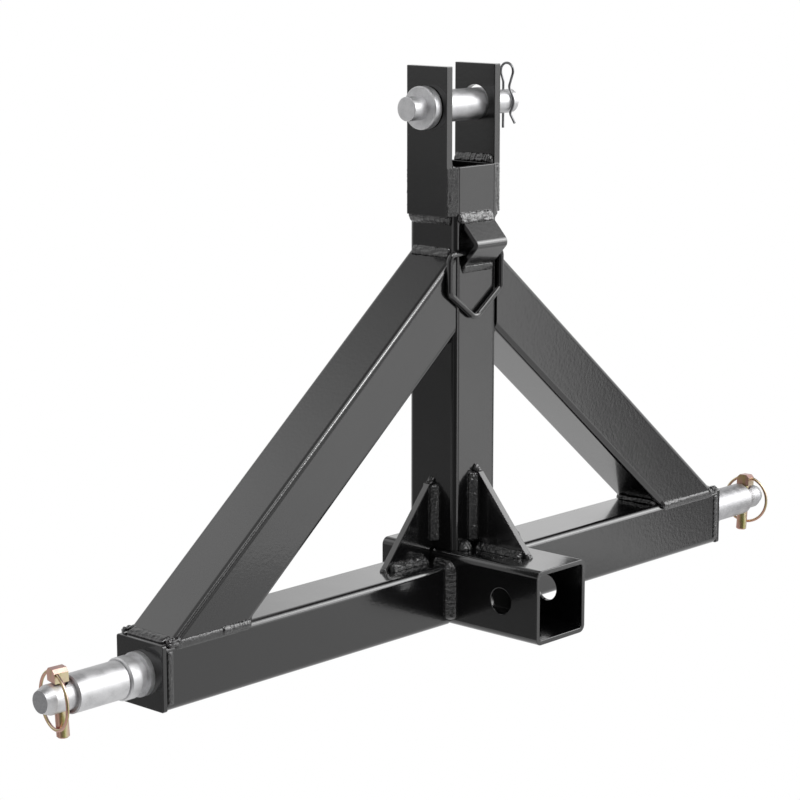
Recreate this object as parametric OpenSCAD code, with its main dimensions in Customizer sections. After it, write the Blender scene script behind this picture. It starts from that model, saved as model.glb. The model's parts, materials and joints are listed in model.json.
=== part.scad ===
// Three-point trailer hitch, millimetres.
// +Z is up, +X runs along the cross beam to the right, and the receiver
// mouth faces -Y. The origin is midway between the lower pins, on their axis.

/* [Cross beam] */
// How much narrower the beam, mast and brace tubes are than the receiver
tube_step = 10; // [9:0.5:12]
// Wall of the square beam, mast and brace tubes
tube_wall = 4; // [3:0.5:5]
// Outside corner radius of those tubes
tube_round = 5; // [3:0.5:6]
// Distance over the outer faces of the two end plates
beam_span = 677; // [640:1:720]
// Thickness of each end plate
end_plate_t = 4; // [3:0.5:6]
// Corner radius of the end plates
end_plate_round = 2; // [1:0.5:4]

/* [Receiver] */
// Outside width of the receiver tube
receiver_w = 60; // [56:1:66]
// Wall of the receiver tube
receiver_wall = 4; // [3:0.5:5]
// Outside corner radius of the receiver tube
receiver_round = 6; // [4:0.5:8]
// Reach of the receiver mouth in front of the pin axis
receiver_front = 115; // [100:1:130]
// Reach of the receiver tube behind the pin axis
receiver_rear = 50; // [42:1:60]
// Bore for the hitch pin through both receiver walls
hitch_pin_bore = 21; // [16:0.5:22]
// Distance from the mouth back to the hitch pin bore
hitch_pin_setback = 37; // [30:1:42]

/* [Mast and clevis] */
// Height of the top link holes above the lower pins' axis
top_hole_height = 390; // [380:1:400]
// Drop from the top link holes to the mast's open top
mast_drop = 47; // [44:1:52]
// Reach of the clevis plates above the top link holes
clevis_rise = 31; // [28:1:36]
// Length of the clevis plates that lies on the mast
clevis_lap = 39; // [34:1:44]
// Thickness of the clevis plates
clevis_t = 7; // [6:0.5:9]
// Width of the clevis plates from front to rear
clevis_w = 42; // [40:1:46]
// Diameter of the top link holes
top_hole_d = 28; // [27:0.5:30]

/* [Braces] */
// Drop from the clevis plates to a brace's centre line at the mast
brace_drop = 61.5; // [56:0.5:66]
// Bare length of the beam's top between a brace's foot and the end plate
brace_foot_gap = 5.3; // [4:0.1:8]

/* [Gussets] */
// Thickness of the gussets
gusset_t = 6; // [5:0.5:8]
// Foot of a gusset along the beam or receiver
gusset_foot = 56; // [52:1:66]
// Height of a gusset up the mast
gusset_rise = 63; // [55:1:70]
// Height of the blunt end at a gusset's foot
gusset_blunt = 3; // [2:0.5:5]
// Width of the blunt end at a gusset's top
gusset_top = 5.5; // [5:0.5:8]

/* [Ring bracket] */
// How far the bent strap stands in from the mast's sides
bracket_inset = 7; // [5:0.5:10]
// Thickness of the bent strap
bracket_t = 4; // [3:0.5:5]
// Reach of the strap's nose in front of the mast
bracket_reach = 16.5; // [15:0.5:20]
// Outer bend radius of the strap's nose
bracket_bend = 5.5; // [5:0.5:7]
// Slope of the strap's two legs
bracket_slope = 47; // [40:0.5:48]
// Drop from the clevis plates to the strap's nose
bracket_drop = 21.5; // [20:0.5:26]

/* [Shield ring] */
// Wire of the hanging ring
shield_wire = 5; // [4:0.5:6]
// Width over the middle of the ring's wire
shield_w = 61; // [56:1:66]
// Straight side of the ring, from the bar to the lower corner
shield_side = 31; // [26:1:34]
// Slope of the two lower legs of the ring
shield_slope = 36; // [30:1:42]
// Bend radius of the ring's corners
shield_bend = 6; // [5:0.5:7]
// How far the ring has slid to the left in its bracket
shield_shift = 5; // [0:0.5:6]

/* [Lower pins] */
// Diameter of the lower hitch pins
lower_pin_d = 22; // [20:0.5:22]
// Outside diameter of the lower sleeves
lower_sleeve_d = 28.6; // [28:0.1:30]
// Length of the lower sleeves
lower_sleeve_len = 46.6; // [42:0.2:50]
// Thickness of the thin flange at the end plate
flange_t = 4; // [3:0.5:5]
// Diameter of the thin flange
flange_d = 33.5; // [32:0.5:36]
// Length of the neck between flange and collar
neck_len = 7.5; // [5:0.5:9]
// Diameter of the neck
neck_d = 27; // [25:0.5:29]
// Length of the collar that stops the sleeve
collar_len = 9; // [7:0.5:11]
// Diameter of the collar
collar_d = 32; // [31:0.5:34]
// Length of the bare pin beyond the sleeve, up to the taper
bare_len = 17.5; // [16:0.5:20]
// Length of the taper at the pin's nose
nose_len = 7; // [5:0.5:9]
// Diameter of the flat at the pin's nose
nose_d = 16.4; // [14:0.2:18]
// Length of the pin's root inside the end plate
root_len = 10; // [6:0.5:14]

/* [Linchpins] */
// Diameter of the linchpin's shaft
linchpin_d = 9.5; // [9:0.5:10]
// How much wider the cross hole in the lower pin is than the shaft
linchpin_play = 2.5; // [2.5:0.1:3]
// Reach of the shaft below the pin axis
linchpin_drop = 30; // [28:0.5:36]
// Width of the linchpin's head along the lower pin
head_w = 11; // [10.5:0.5:11.5]
// Width of the linchpin's head across the lower pin
head_across = 12; // [11:0.5:13]
// Height of the linchpin's head
head_h = 10; // [9:0.5:12]
// Chamfer along the head's upper edges
head_chamfer = 2.6; // [1.5:0.1:3]
// Shift of the head away from the sleeve
head_shift = 0.6; // [0.3:0.1:0.8]
// Lean of the left linchpin in its hole, in degrees
left_lean = 3.5; // [0:0.5:5.5]
// Lean of the right linchpin in its hole, in degrees
right_lean = 5.5; // [0:0.5:5.5]
// Turn of the left linchpin about its shaft, in degrees
left_turn = 13; // [0:1:14]
// Turn of the right linchpin about its shaft, in degrees
right_turn = 8; // [0:1:14]
// Wire of the linchpin rings
link_wire = 2.5; // [2:0.1:2.6]
// Radius of the linchpin rings to the middle of the wire
link_radius = 21; // [19:0.5:23]
// Half angle of the ring's arc that its straight run at the head replaces
link_open = 25; // [24:1:28]
// Bend radius where the ring turns into the head
link_bend = 4; // [3:0.5:4]
// Distance from the shaft's axis to the ring's hole in the head
link_offset = 3.9; // [3.5:0.1:4]
// Height of the ring's hole above the head's foot
link_hole_height = 6; // [5:0.5:6.5]

/* [Top link pin] */
// Diameter of the top link pin
top_pin_d = 19; // [18:0.5:19.5]
// Outside diameter of the top sleeve
top_sleeve_d = 25.4; // [24.5:0.1:26]
// Reach of the top sleeve beyond the right clevis plate
top_sleeve_proud = 2; // [1:0.5:4]
// Diameter of the top pin's collar
top_collar_d = 34; // [33:0.5:37]
// Length of the top pin's collar
top_collar_len = 7.5; // [6:0.5:9]
// Length of the stub outside the collar
top_stub_len = 15; // [12:0.5:18]
// Reach of the top pin beyond the right clevis plate
top_pin_reach = 37; // [34:0.1:40]
// Distance from the pin's right end back to the clip hole
clip_setback = 9; // [6:0.1:10]

/* [Hairpin clip] */
// Wire of the hairpin clip
clip_wire = 2; // [1.6:0.1:2.2]
// Diameter of the clip's hole in the pin
clip_hole_d = 2.6; // [2.6:0.1:3]
// Straight leg below the pin axis
clip_leg_drop = 21.3; // [18:0.1:24]
// Reach and drop of the front leg's foot from the pin's axis
clip_foot_reach = 12.3; // [11:0.1:13]
clip_foot_drop = 17.1; // [15:0.1:20]
// Stand-off of the front leg's waist from the pin
clip_waist_gap = 0.9; // [0.6:0.1:1.2]
// Radius of the clip's loop to the middle of the wire
clip_loop_r = 6.4; // [5.5:0.1:7]
// Height of the loop's middle above the pin axis
clip_loop_height = 24.4; // [23:0.1:27]
// Sideways shift of the loop's middle
clip_loop_shift = 3.7; // [3:0.1:4.5]
// Angle by which the legs close in below the loop
clip_neck_angle = 20; // [15:1:25]
// Straight part of the front leg between the loop and the neck
clip_neck_len = 11; // [9:0.5:12]

/* [Welds and fits] */
// Leg of the weld beads between tubes
tube_bead = 7; // [5:0.5:9]
// Leg of the weld beads along the gussets
gusset_bead = 5; // [4:0.5:6]
// Height of the beads on the mast's rim, inside the clevis plates
rim_bead_h = 7; // [5:0.5:9]
// Leg of the weld beads at the brace tops and round the ring bracket's foot
fine_bead = 5; // [3:0.5:6]
// Height of the beads round the end plates
cap_bead_h = 1.2; // [0.8:0.1:2]
// Width of the beads round the end plates
cap_bead_w = 6; // [4:0.5:8]
// Radial clearance of a running fit
running_gap = 0.1; // [0.05:0.01:0.1]
// Clearance between pieces that only rest on each other
rest_gap = 0.3; // [0.2:0.05:0.4]
// Small edge chamfer on turned pieces
edge = 1; // [0.5:0.1:1.2]

/* [Hidden] */
$fn = 64;

black_paint = "#2b2b2d";
bead_paint = "#1c1c1e";
zinc = "#b9babc";
yellow_zinc = "#b79a63";
spring_wire = "#55555a";

// A cut reaches this far past the face it starts from
over = 1;
// A cutting block is as long as the beam
block = beam_span;
// Straight wire runs this far into a bend, thinner by this much
wire_bite = 0.2;
wire_slim = 0.04;

full_turn = 360;

// Levels and faces of the frame
tube_w = receiver_w - tube_step;
half_tube = tube_w / 2;
beam_top = half_tube;
beam_bottom = -half_tube;
receiver_bottom = beam_bottom;
receiver_mid = receiver_bottom + receiver_w / 2;
receiver_top = receiver_bottom + receiver_w;
half_receiver = receiver_w / 2;
end_face = beam_span / 2;
beam_end = end_face - end_plate_t;
tube_flat = half_tube - tube_round;
hitch_pin_y = -(receiver_front - hitch_pin_setback);
clevis_out = half_tube + clevis_t;

// Heights of the mast's pieces
mast_top = top_hole_height - mast_drop;
clevis_top = top_hole_height + clevis_rise;
clevis_bottom = mast_top - clevis_lap;
brace_height = clevis_bottom - brace_drop;
bracket_height = clevis_bottom - bracket_drop;

// Slope that takes a brace from the mast to its foot near the end plate
brace_foot_end = beam_end - brace_foot_gap;
brace_slope = atan2(brace_height - beam_top, brace_foot_end - half_tube)
    + asin(half_tube / norm([brace_height - beam_top, brace_foot_end - half_tube]));

// Places along a lower pin, measured from the end plate's outer face
collar_start = flange_t + neck_len;
collar_end = collar_start + collar_len;
sleeve_start = collar_end + rest_gap;
sleeve_end = sleeve_start + lower_sleeve_len;
taper_start = sleeve_end + bare_len;
pin_tip = taper_start + nose_len;
// The leaning shaft and the turned head both stand clear of the sleeve
most_lean = max(left_lean, right_lean);
most_turn = max(left_turn, right_turn);
shaft_reach = linchpin_d / 2 + lower_sleeve_d / 2 * sin(most_lean);
head_reach = (head_w / 2 - head_shift) * cos(most_turn) + head_across / 2 * sin(most_turn);
linchpin_at = sleeve_end + max(shaft_reach, head_reach) + rest_gap;
linchpin_hole_d = linchpin_d + linchpin_play;

// Linchpin head and ring, measured from the pin axis
head_foot = lower_pin_d / 2 + rest_gap + (head_w / 2 + head_shift) / cos(most_turn) * sin(most_lean);
link_hole_z = head_foot + link_hole_height;
link_corner = head_across / 2 + 1.2 * edge;
link_slope_len = (link_radius * sin(link_open) - link_corner) / cos(link_open);
link_mid_drop = link_radius * cos(link_open) + link_slope_len * sin(link_open);
link_drop = link_mid_drop + link_radius;
link_rest_offset = linchpin_d / 2 + link_wire / 2 + running_gap;
link_tilt = asin((link_rest_offset - link_offset) / link_drop);

// Top link
top_sleeve_z = top_hole_height - (top_hole_d - top_sleeve_d) / 2 + running_gap;
top_collar_face = clevis_out + 1;
clip_x = clevis_out + top_pin_reach - clip_setback;
clip_hug = top_pin_d / 2 + clip_wire / 2 + rest_gap;

// Ring bracket and the bar that rests in it
bracket_w = tube_w - 2 * bracket_inset;
bracket_mid = bracket_reach - bracket_bend;
bracket_half = (bracket_bend + bracket_mid * sin(bracket_slope)) / cos(bracket_slope);
shield_bar_y = shield_wire / 2 + 0.5;
shield_bar_drop = (bracket_bend - bracket_t - shield_wire / 2 - rest_gap
    + (bracket_mid - shield_bar_y) * sin(bracket_slope)) / cos(bracket_slope);
shield_bar_z = bracket_height - shield_bar_drop;

// Shapes that several pieces share

module round_square(w, r) {
    square([w, w - 2 * r], center = true);
    square([w - 2 * r, w], center = true);
    for (sx = [-1, 1], sy = [-1, 1])
        translate([sx * (w / 2 - r), sy * (w / 2 - r)])
            circle(r);
}

module tube_profile(w, wall, r) {
    difference() {
        round_square(w, r);
        round_square(w - 2 * wall, max(r - wall, 1));
    }
}

module along_x(x0, x1) {
    translate([x0, 0, 0])
        rotate([90, 0, 90])
            linear_extrude(x1 - x0)
                children();
}

// A turned piece about +X from a half section of [along, radius] points
module turned(section) {
    rotate([0, 90, 0])
        rotate_extrude()
            polygon([for (p = section) [p[1], p[0]]]);
}

// Straight-sided weld bead of length len along +Z, in the corner between
// the directions 0 and opening degrees
module bead(leg, opening, len) {
    linear_extrude(len)
        polygon([[0, 0], [leg, 0], leg * [cos(opening), sin(opening)]]);
}

function heading(a, b) = atan2(b[1] - a[1], b[0] - a[0]);
function wrap(t) = t > full_turn / 2 ? t - full_turn : t < -full_turn / 2 ? t + full_turn : t;
function turn_at(a, b, c) = wrap(heading(b, c) - heading(a, b));
function setback(a, b, c, r) = r * tan(abs(turn_at(a, b, c)) / 2);
function polar(r, a) = r * [cos(a), sin(a)];

module wire_run(a, b, d) {
    translate([a[0], a[1], 0])
        rotate([0, 0, heading(a, b)])
            rotate([0, 90, 0])
                cylinder(h = norm(b - a), d = d);
}

// Bent wire of radius r about mid, from the angle first through sweep
module wire_arc(mid, r, first, sweep, d) {
    translate([mid[0], mid[1], 0])
        rotate([0, 0, first])
            rotate_extrude(angle = sweep)
                translate([r, 0])
                    circle(d = d);
}

module wire_elbow(a, b, c, r, d) {
    t = turn_at(a, b, c);
    h = heading(a, b);
    start = b - polar(setback(a, b, c, r), h);
    mid = start + polar(r, h + (t > 0 ? 90 : -90));
    wire_arc(mid, r, t > 0 ? h - 90 : h + 90 + t, abs(t), d);
}

// Wire of diameter d through points, with a bend radius at each of them;
// the first and last points of an open wire have no bend
module bent_wire(points, bends, d, closed = false) {
    n = len(points);
    at = function(i) points[(i + n) % n];
    cut = function(i) !closed && (i == 0 || i == n - 1) ? 0
        : setback(at(i - 1), at(i), at(i + 1), bends[i % n]) - wire_bite;
    for (i = [0 : closed ? n - 1 : n - 2]) {
        h = heading(at(i), at(i + 1));
        wire_run(at(i) + polar(cut(i), h), at(i + 1) - polar(cut((i + 1) % n), h), d - wire_slim);
    }
    for (i = [closed ? 0 : 1 : closed ? n - 1 : n - 2])
        wire_elbow(at(i - 1), at(i), at(i + 1), bends[i], d);
}

// Puts the right-hand copy of a piece on the left
module on_left() {
    mirror([1, 0, 0])
        children();
}

// Cross beam

module receiver_tube() {
    color(black_paint)
        difference() {
            translate([0, receiver_rear, receiver_mid])
                rotate([90, 0, 0])
                    linear_extrude(receiver_rear + receiver_front)
                        tube_profile(receiver_w, receiver_wall, receiver_round);
            translate([-half_receiver - over, hitch_pin_y, receiver_mid])
                rotate([0, 90, 0])
                    cylinder(h = receiver_w + 2 * over, d = hitch_pin_bore);
        }
}

module cross_tube() {
    color(black_paint)
        along_x(half_receiver, beam_end)
            tube_profile(tube_w, tube_wall, tube_round);
}

module end_plate() {
    color(black_paint)
        difference() {
            along_x(beam_end, end_face)
                round_square(tube_w, end_plate_round);
            translate([beam_end - over, 0, 0])
                rotate([0, 90, 0])
                    cylinder(h = end_plate_t + 2 * over, d = lower_pin_d + 2 * running_gap);
        }
}

module lower_pin() {
    pin_r = lower_pin_d / 2;
    color(zinc)
        translate([end_face, 0, 0])
            difference() {
                turned([
                    [-root_len, 0], [-root_len, pin_r - edge], [edge - root_len, pin_r], [0, pin_r],
                    [0, flange_d / 2], [flange_t, flange_d / 2], [flange_t, neck_d / 2],
                    [collar_start, neck_d / 2], [collar_start, collar_d / 2],
                    [collar_end - edge, collar_d / 2], [collar_end, collar_d / 2 - edge],
                    [collar_end, pin_r], [taper_start, pin_r],
                    [pin_tip, nose_d / 2], [pin_tip, 0]
                ]);
                leaning_pin()
                    translate([0, 0, -lower_pin_d])
                        cylinder(h = 2 * lower_pin_d, d = linchpin_hole_d);
            }
}

// Places a piece at the linchpin hole, leaning and turned in it
module leaning_pin(lean = 0, turn = 0) {
    translate([linchpin_at, 0, 0])
        rotate([0, lean, 0])
            rotate([0, 0, turn])
                children();
}

// Mast and clevis

module mast_tube() {
    color(black_paint)
        translate([0, 0, receiver_top])
            linear_extrude(mast_top - receiver_top)
                tube_profile(tube_w, tube_wall, tube_round);
}

module clevis_plate() {
    color(black_paint)
        difference() {
            translate([half_tube, -clevis_w / 2, clevis_bottom])
                cube([clevis_t, clevis_w, clevis_top - clevis_bottom]);
            translate([half_tube - over, 0, top_hole_height])
                rotate([0, 90, 0])
                    cylinder(h = clevis_t + 2 * over, d = top_hole_d);
        }
}

module brace() {
    brace_len = tube_w + norm([end_face, brace_height]);
    color(black_paint)
        difference() {
            translate([half_tube, 0, brace_height])
                rotate([0, brace_slope, 0])
                    along_x(-tube_w, brace_len)
                        tube_profile(tube_w, tube_wall, tube_round);
            translate([half_tube - block, -block / 2, 0])
                cube([block, block, block + brace_height]);
            translate([0, -block / 2, beam_top - block])
                cube([block, block, block]);
        }
}

// Flat triangle with blunt tips, its right angle at the origin
module gusset_outline() {
    polygon([
        [0, 0], [gusset_foot, 0], [gusset_foot, gusset_blunt],
        [gusset_top, gusset_rise], [0, gusset_rise]
    ]);
}

module side_gusset() {
    step_x = half_receiver - half_tube + rest_gap;
    step_z = receiver_top - beam_top + rest_gap;
    color(black_paint)
        translate([half_tube, gusset_t / 2, beam_top])
            rotate([90, 0, 0])
                linear_extrude(gusset_t)
                    difference() {
                        gusset_outline();
                        translate([-over, -over])
                            square([step_x + over, step_z + over]);
                    }
}

module front_gusset() {
    color(black_paint)
        translate([gusset_t / 2, -half_tube, receiver_top])
            rotate([90, 0, -90])
                linear_extrude(gusset_t)
                    gusset_outline();
}

// Bent strap on the front of the mast, its nose towards -Y
module ring_bracket() {
    leg_len = bracket_reach / cos(bracket_slope) + bracket_bend;
    color(black_paint)
        translate([bracket_w / 2, -half_tube, bracket_height])
            rotate([90, 0, -90])
                difference() {
                    translate([bracket_mid, 0, 0]) {
                        rotate([0, 0, bracket_slope - 90])
                            rotate_extrude(angle = 180 - 2 * bracket_slope)
                                translate([bracket_bend - bracket_t, 0])
                                    square([bracket_t, bracket_w]);
                        for (side = [0, 1])
                            mirror([0, side, 0])
                                rotate([0, 0, -bracket_slope])
                                    translate([-leg_len, bracket_bend - bracket_t, 0])
                                        cube([leg_len, bracket_t, bracket_w]);
                    }
                    translate([-block, -block / 2, -over])
                        cube([block, block, bracket_w + 2 * over]);
                }
}

// Weld beads, each lying on the flat faces of the two pieces it joins

module receiver_welds() {
    color(bead_paint)
        for (side = [0, 1], face = [0, 1])
            mirror([side, 0, 0])
                mirror([0, face, 0]) {
                    translate([half_receiver, -half_tube, -tube_flat])
                        mirror([0, 1, 0])
                            bead(tube_bead, 90, 2 * tube_flat);
                    translate([half_receiver, -gusset_t / 2 - gusset_bead, beam_top])
                        rotate([90, 0, 0])
                            bead(receiver_top - receiver_round - beam_top, 90,
                                tube_flat - gusset_t / 2 - gusset_bead);
                }
}

module mast_welds() {
    color(bead_paint) {
        for (side = [0, 1])
            mirror([side, 0, 0])
                translate([gusset_t / 2 + gusset_bead, -half_tube, receiver_top])
                    rotate([90, 0, 90])
                        mirror([1, 0, 0])
                            bead(tube_bead, 90, tube_flat - gusset_t / 2 - gusset_bead);
        translate([-tube_flat, half_tube, receiver_top])
            rotate([90, 0, 90])
                bead(tube_bead, 90, 2 * tube_flat);
        for (side = [0, 1])
            mirror([side, 0, 0])
                translate([half_tube, tube_flat, mast_top])
                    rotate([90, 0, 0])
                        linear_extrude(2 * tube_flat)
                            polygon([[0, 0], [0, rim_bead_h], [-tube_wall, 0]]);
    }
}

module brace_welds() {
    reach = half_tube / cos(brace_slope);
    foot_start = brace_foot_end - tube_w / sin(brace_slope);
    color(bead_paint)
        for (side = [0, 1])
            mirror([side, 0, 0]) {
                translate([half_tube, tube_flat, brace_height + reach])
                    rotate([90, 0, 0])
                        rotate([0, 0, -brace_slope])
                            bead(fine_bead, 90 + brace_slope, 2 * tube_flat);
                translate([half_tube, tube_flat, brace_height - reach])
                    rotate([90, 0, 0])
                        rotate([0, 0, -90])
                            bead(tube_bead, 90 - brace_slope, 2 * tube_flat);
                translate([foot_start, tube_flat, beam_top])
                    rotate([90, 0, 0])
                        rotate([0, 0, 180 - brace_slope])
                            bead(tube_bead, brace_slope, 2 * tube_flat);
                translate([brace_foot_end, tube_flat, beam_top])
                    rotate([90, 0, 0])
                        bead(brace_foot_gap, 180 - brace_slope, 2 * tube_flat);
                for (face = [0, 1])
                    mirror([0, face, 0])
                        along_x(foot_start + tube_round, brace_foot_end - tube_round)
                            groove_bead();
            }
}

// Section of the bead that fills the groove between the beam's rounded edge and a brace
module groove_bead() {
    out = half_tube + cap_bead_h;
    root = half_tube - tube_round / 3;
    difference() {
        polygon([
            [-half_tube, tube_flat - cap_bead_h], [-out, tube_flat], [-out, out],
            [-half_tube, out + cap_bead_h], [-half_tube, half_tube], [-root, half_tube],
            [-root, tube_flat]
        ]);
        round_square(tube_w, tube_round);
    }
}

// Pair of beads along one straight edge of a gusset, on both of its faces
module gusset_bead_pair(len) {
    for (face = [0, 1])
        mirror([0, face, 0])
            translate([0, gusset_t / 2, 0])
                bead(gusset_bead, 90, len);
}

// Beads that close off a gusset's foot and top
module gusset_tip_beads() {
    for (tip = [[gusset_foot, 0, gusset_blunt], [0, gusset_rise, gusset_bead]])
        translate([tip[0], gusset_t / 2, tip[1]])
            rotate([90, 0, 0])
                bead(tip[2], 90, gusset_t);
}

module gusset_welds() {
    low = receiver_top - beam_top + gusset_bead;
    foot_start = half_receiver + gusset_bead;
    top_end = gusset_rise - rest_gap;
    color(bead_paint) {
        for (side = [0, 1])
            mirror([side, 0, 0]) {
                translate([half_tube, 0, beam_top + low])
                    gusset_bead_pair(top_end - low);
                translate([half_tube, 0, beam_top])
                    gusset_tip_beads();
                translate([half_tube + gusset_foot - gusset_blunt, 0, beam_top])
                    rotate([0, -90, 0])
                        gusset_bead_pair(half_tube + gusset_foot - gusset_blunt - foot_start);
            }
        translate([0, -half_tube, receiver_top + gusset_bead])
            rotate([0, 0, -90])
                gusset_bead_pair(top_end - gusset_bead);
        translate([0, -half_tube, receiver_top])
            rotate([0, 0, -90])
                gusset_tip_beads();
        translate([0, -half_tube - gusset_foot + gusset_blunt, receiver_top])
            rotate([0, 0, -90])
                rotate([0, -90, 0])
                    gusset_bead_pair(gusset_foot - gusset_blunt - gusset_bead);
    }
}

// The foot of the brace takes the place of the bead on the top face
module end_plate_welds() {
    color(bead_paint)
        for (side = [0, 1], quarter = [1 : 3])
            mirror([side, 0, 0])
                rotate([90 * quarter, 0, 0])
                    translate([beam_end - cap_bead_w, -tube_flat, half_tube])
                        cube([cap_bead_w, 2 * tube_flat, cap_bead_h]);
}

module clevis_welds() {
    plate_edge = [clevis_out, -clevis_w / 2];
    root = [half_tube, -clevis_w / 2];
    color(bead_paint)
        for (side = [0, 1])
            mirror([side, 0, 0]) {
                for (face = [0, 1])
                    mirror([0, face, 0])
                        translate([0, 0, clevis_bottom])
                            linear_extrude(mast_top - clevis_bottom)
                                difference() {
                                    polygon([plate_edge, [tube_flat, -half_tube - over],
                                        [tube_flat, -tube_flat], root]);
                                    round_square(tube_w, tube_round);
                                }
                translate([half_tube, tube_flat, clevis_bottom])
                    rotate([90, 0, 0])
                        mirror([0, 1, 0])
                            bead(clevis_t, 90, 2 * tube_flat);
            }
}

module bracket_welds() {
    color(bead_paint)
        for (side = [0, 1])
            translate([bracket_w / 2, -half_tube, bracket_height])
                rotate([90, 0, -90])
                    mirror([0, side, 0])
                        translate([0, bracket_half, 0])
                            rotate([0, 0, -bracket_slope])
                                bead(side == 0 ? tube_bead : fine_bead, 90 + bracket_slope, bracket_w);
}

// Loose pieces of the lower pins

module lower_sleeve() {
    bore_r = lower_pin_d / 2 + running_gap;
    out_r = lower_sleeve_d / 2;
    color(zinc)
        translate([end_face, 0, 0])
            turned([
                [sleeve_start, bore_r], [sleeve_start, out_r - edge],
                [sleeve_start + edge, out_r], [sleeve_end - edge, out_r],
                [sleeve_end, out_r - edge], [sleeve_end, bore_r]
            ]);
}

module linchpin(lean, turn) {
    foot = head_across / 2;
    color(yellow_zinc)
        translate([end_face, 0, 0])
            leaning_pin(lean, turn)
                difference() {
                    union() {
                        translate([0, 0, -linchpin_drop])
                            cylinder(h = edge, d1 = linchpin_d - 2 * edge, d2 = linchpin_d);
                        translate([0, 0, edge - linchpin_drop])
                            cylinder(h = linchpin_drop - edge + head_foot + edge, d = linchpin_d);
                        translate([head_shift - head_w / 2, 0, head_foot])
                            rotate([90, 0, 90])
                                linear_extrude(head_w)
                                    polygon([
                                        [-foot, 0], [foot, 0], [foot, head_h - head_chamfer],
                                        [foot - head_chamfer, head_h],
                                        [head_chamfer - foot, head_h], [-foot, head_h - head_chamfer]
                                    ]);
                    }
                    translate([link_offset, head_across, link_hole_z])
                        rotate([90, 0, 0])
                            cylinder(h = 2 * head_across, r = link_wire / 2 + running_gap);
                }
}

// Ring of spring wire through the linchpin's head, resting on the shaft
module linchpin_ring(lean, turn) {
    color(yellow_zinc)
        translate([end_face, 0, 0])
            leaning_pin(lean, turn)
                translate([link_offset, 0, link_hole_z])
                    rotate([0, -link_tilt, 0])
                        rotate([90, 0, 90]) {
                            wire_arc([0, -link_mid_drop], link_radius, 90 + link_open,
                                full_turn - 2 * link_open, link_wire);
                            bent_wire([
                                link_end(1), [link_corner, 0], [-link_corner, 0], link_end(-1)
                            ], [0, link_bend, link_bend, 0], link_wire);
                        }
}

// End of a ring's straight run, just inside its arc
function link_end(side) = [side * link_radius * sin(link_open), -link_slope_len * sin(link_open)]
    + wire_bite * [side * cos(link_open), -sin(link_open)];

// Top link pin

module top_sleeve() {
    bore_r = top_pin_d / 2 + running_gap;
    out_r = top_sleeve_d / 2;
    left = -top_collar_face + rest_gap;
    right = clevis_out + top_sleeve_proud;
    color(zinc)
        translate([0, 0, top_sleeve_z])
            turned([
                [left, bore_r], [left, out_r - edge], [left + edge, out_r],
                [right - edge, out_r], [right, out_r - edge], [right, bore_r]
            ]);
}

module top_pin() {
    pin_r = top_pin_d / 2;
    collar_r = top_collar_d / 2;
    out = -top_collar_face - top_collar_len;
    right = clevis_out + top_pin_reach;
    color(zinc)
        translate([0, 0, top_sleeve_z])
            difference() {
                turned([
                    [out - top_stub_len, 0], [out - top_stub_len, pin_r - edge / 2],
                    [out - top_stub_len + edge / 2, pin_r], [out, pin_r],
                    [out, collar_r - edge], [out + edge, collar_r],
                    [-top_collar_face, collar_r], [-top_collar_face, pin_r],
                    [right - edge, pin_r], [right, pin_r - edge], [right, 0]
                ]);
                translate([clip_x, 0, -top_pin_d])
                    cylinder(h = 2 * top_pin_d, d = clip_hole_d);
            }
}

// Hairpin clip in the plane across the pin: +x of its outline is towards
// the rear, +y is up, and the origin is the pin's axis
module hairpin_clip() {
    loop_mid = [-clip_loop_shift, clip_loop_height];
    rear_heading = 90 - clip_neck_angle;
    rear_join = loop_mid + polar(clip_loop_r, -clip_neck_angle);
    rear_neck = [0, clip_loop_height
        - (clip_loop_r - clip_loop_shift * cos(clip_neck_angle)) / sin(clip_neck_angle)];
    front_join = loop_mid + polar(clip_loop_r, 180 + clip_neck_angle);
    front_neck = front_join + polar(clip_neck_len, -rear_heading);
    clip_foot = [-clip_foot_reach, -clip_foot_drop];
    waist_angle = full_turn + heading([0, 0], clip_foot) - 2;
    low_waist = polar(clip_hug + clip_waist_gap, waist_angle);
    hug_first = heading([0, 0], front_neck) + acos(clip_hug / norm(front_neck));
    hug_last = waist_angle - acos(clip_hug / norm(low_waist));
    hug_corner = polar(clip_hug / cos((hug_last - hug_first) / 2), (hug_first + hug_last) / 2);
    color(spring_wire)
        translate([clip_x, 0, top_sleeve_z])
            rotate([90, 0, 90]) {
                wire_arc(loop_mid, clip_loop_r, -clip_neck_angle, 180 + 2 * clip_neck_angle, clip_wire);
                bent_wire([[0, -clip_leg_drop], rear_neck, rear_join + polar(wire_bite, rear_heading)],
                    [0, 5, 0], clip_wire);
                bent_wire([
                    front_join - polar(wire_bite, -rear_heading), front_neck,
                    hug_corner, low_waist, clip_foot
                ], [0, 4, clip_hug, 3, 0], clip_wire);
            }
}

// Ring hanging in the bracket, its bar on the bracket's lower leg
module shield_ring() {
    half = shield_w / 2;
    color(black_paint)
        translate([-shield_shift, -half_tube - shield_bar_y, shield_bar_z])
            rotate([90, 0, 0])
                bent_wire([
                    [-half, 0], [-half, -shield_side],
                    [0, -shield_side - half * tan(shield_slope)],
                    [half, -shield_side], [half, 0]
                ], [shield_bend, shield_bend, 1.4 * shield_bend, shield_bend, shield_bend],
                    shield_wire, closed = true);
}

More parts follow.
